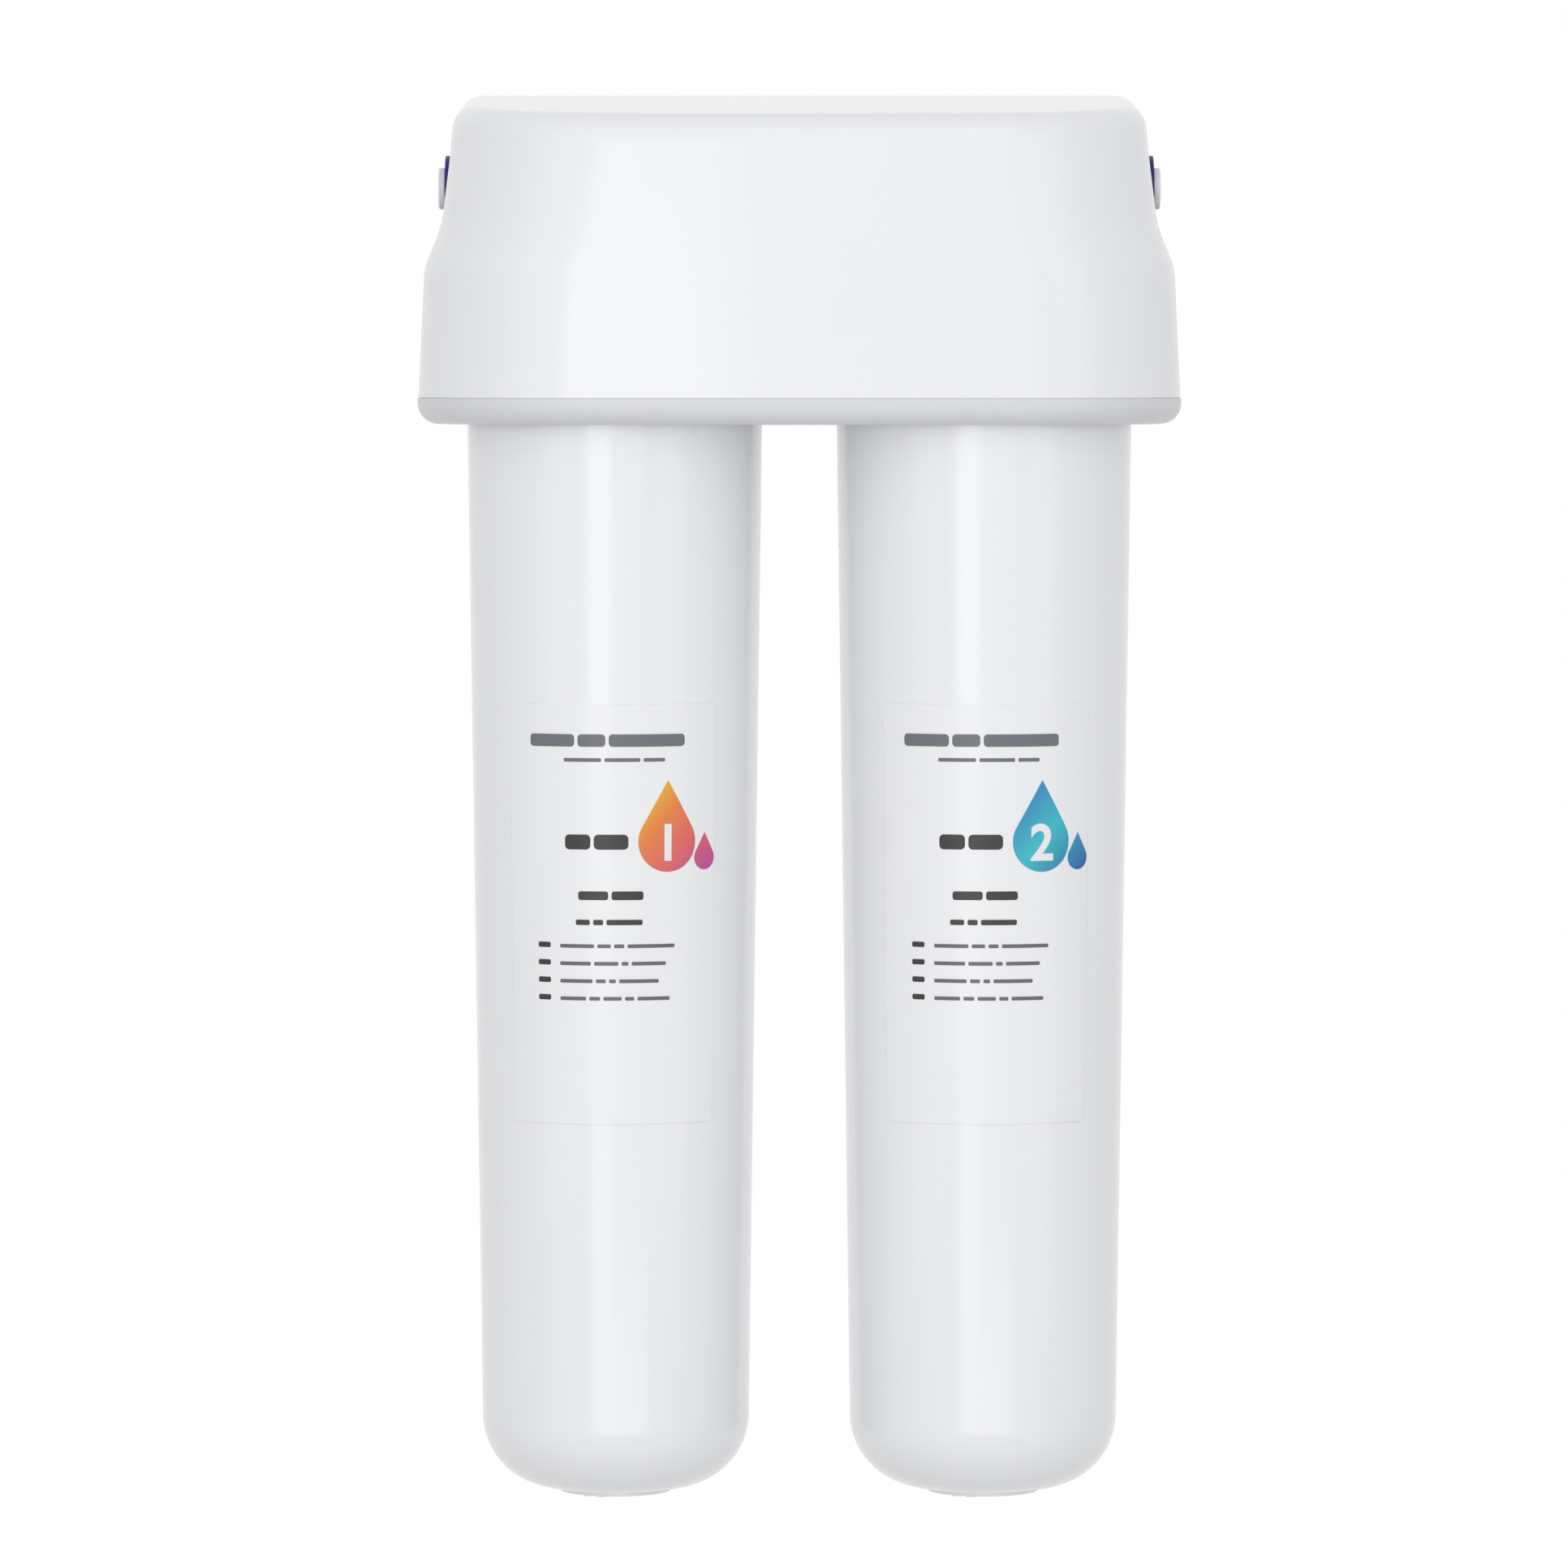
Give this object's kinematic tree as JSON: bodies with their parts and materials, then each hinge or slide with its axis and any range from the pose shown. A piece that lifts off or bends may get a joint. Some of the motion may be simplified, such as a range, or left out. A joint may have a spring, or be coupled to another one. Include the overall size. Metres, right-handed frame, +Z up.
{
  "type": "under sink water filter",
  "caption": "Wall-hung under sink water filter: a covered head with push-fit ports over twist-in cartridges.",
  "frame": {"origin": "on the wall face of the mounting bracket, midway between its two keyholes", "axes": "+X to the right seen from the front, +Y into the wall, +Z up; the front faces -Y"},
  "size_m": [0.185, 0.09, 0.3409],
  "materials": {
    "cover_white": "smooth glossy white plastic",
    "tray_grey": "smooth glossy pale grey plastic",
    "structure_white": "satin white structural plastic",
    "shell_white": "smooth glossy white plastic",
    "collet_grey": "satin pale grey acetal",
    "clip_blue": "satin deep blue plastic",
    "seal_black": "matt black rubber",
    "cap_white": "satin white plastic",
    "core_carbon": "rough pressed carbon",
    "label_film": null,
    "screw_steel": "bright steel"
  },
  "bodies": {
    "head": {"base_tray": "tray_grey", "mounting_bracket": "structure_white", "crossover_pipe": "structure_white", "tray_screw_front": "screw_steel", "tray_screw_left": "screw_steel", "tray_screw_right": "screw_steel", "head_screw_left_front": "screw_steel", "head_screw_left_rear": "screw_steel", "head_screw_right_front": "screw_steel", "head_screw_right_rear": "screw_steel", "left_cartridge_head": "structure_white", "right_cartridge_head": "structure_white", "left_valve_spring": "screw_steel", "right_valve_spring": "screw_steel", "inlet_port_body": "structure_white", "outlet_port_body": "structure_white", "inlet_seal": "seal_black", "outlet_seal": "seal_black", "inlet_collet": "collet_grey", "outlet_collet": "collet_grey"},
    "cover": {"head_cover": "cover_white"},
    "inlet_clip": {"inlet_lock_clip": "clip_blue"},
    "outlet_clip": {"outlet_lock_clip": "clip_blue"},
    "left_valve": {"left_valve_poppet": "cap_white"},
    "right_valve": {"right_valve_poppet": "cap_white"},
    "left_cartridge": {"left_cartridge_shell": "shell_white", "left_cartridge_lid": "shell_white", "left_neck_seal": "seal_black", "left_nipple_seal": "seal_black", "left_core_top_cap": "cap_white", "left_filter_core": "core_carbon", "left_core_tube": "cap_white", "left_core_bottom_cap": "cap_white", "left_label": "label_film"},
    "right_cartridge": {"right_cartridge_shell": "shell_white", "right_cartridge_lid": "shell_white", "right_neck_seal": "seal_black", "right_nipple_seal": "seal_black", "right_core_top_cap": "cap_white", "right_filter_core": "core_carbon", "right_core_tube": "cap_white", "right_core_bottom_cap": "cap_white", "right_label": "label_film"}
  },
  "joints": [
    {"name": "cover_lift", "type": "slide", "parent": "head", "child": "cover", "axis": [0, 0, 1], "range_m": [0, 0.08]},
    {"name": "inlet_clip_lift", "type": "slide", "parent": "head", "child": "inlet_clip", "axis": [0, 0, 1], "range_m": [0, 0.007]},
    {"name": "outlet_clip_lift", "type": "slide", "parent": "head", "child": "outlet_clip", "axis": [0, 0, 1], "range_m": [0, 0.007]},
    {"name": "left_valve_drop", "type": "slide", "parent": "head", "child": "left_valve", "axis": [0, 0, -1], "range_m": [0, 0.005], "deforming": ["left_valve_spring"]},
    {"name": "left_cartridge_twist", "type": "hinge", "parent": "left_valve", "child": "left_cartridge", "pos_m": [-0.04475, -0.045, -0.055], "axis": [0, 0, -1], "range_deg": [0, 60]},
    {"name": "right_valve_drop", "type": "slide", "parent": "head", "child": "right_valve", "axis": [0, 0, -1], "range_m": [0, 0.005], "deforming": ["right_valve_spring"]},
    {"name": "right_cartridge_twist", "type": "hinge", "parent": "right_valve", "child": "right_cartridge", "pos_m": [0.04475, -0.045, -0.055], "axis": [0, 0, -1], "range_deg": [0, 60]}
  ],
  "couplings": [
    {"joint": "left_valve_drop", "follows": "left_cartridge_twist", "m_per_rad": 0.004774},
    {"joint": "right_valve_drop", "follows": "right_cartridge_twist", "m_per_rad": 0.004774}
  ]
}
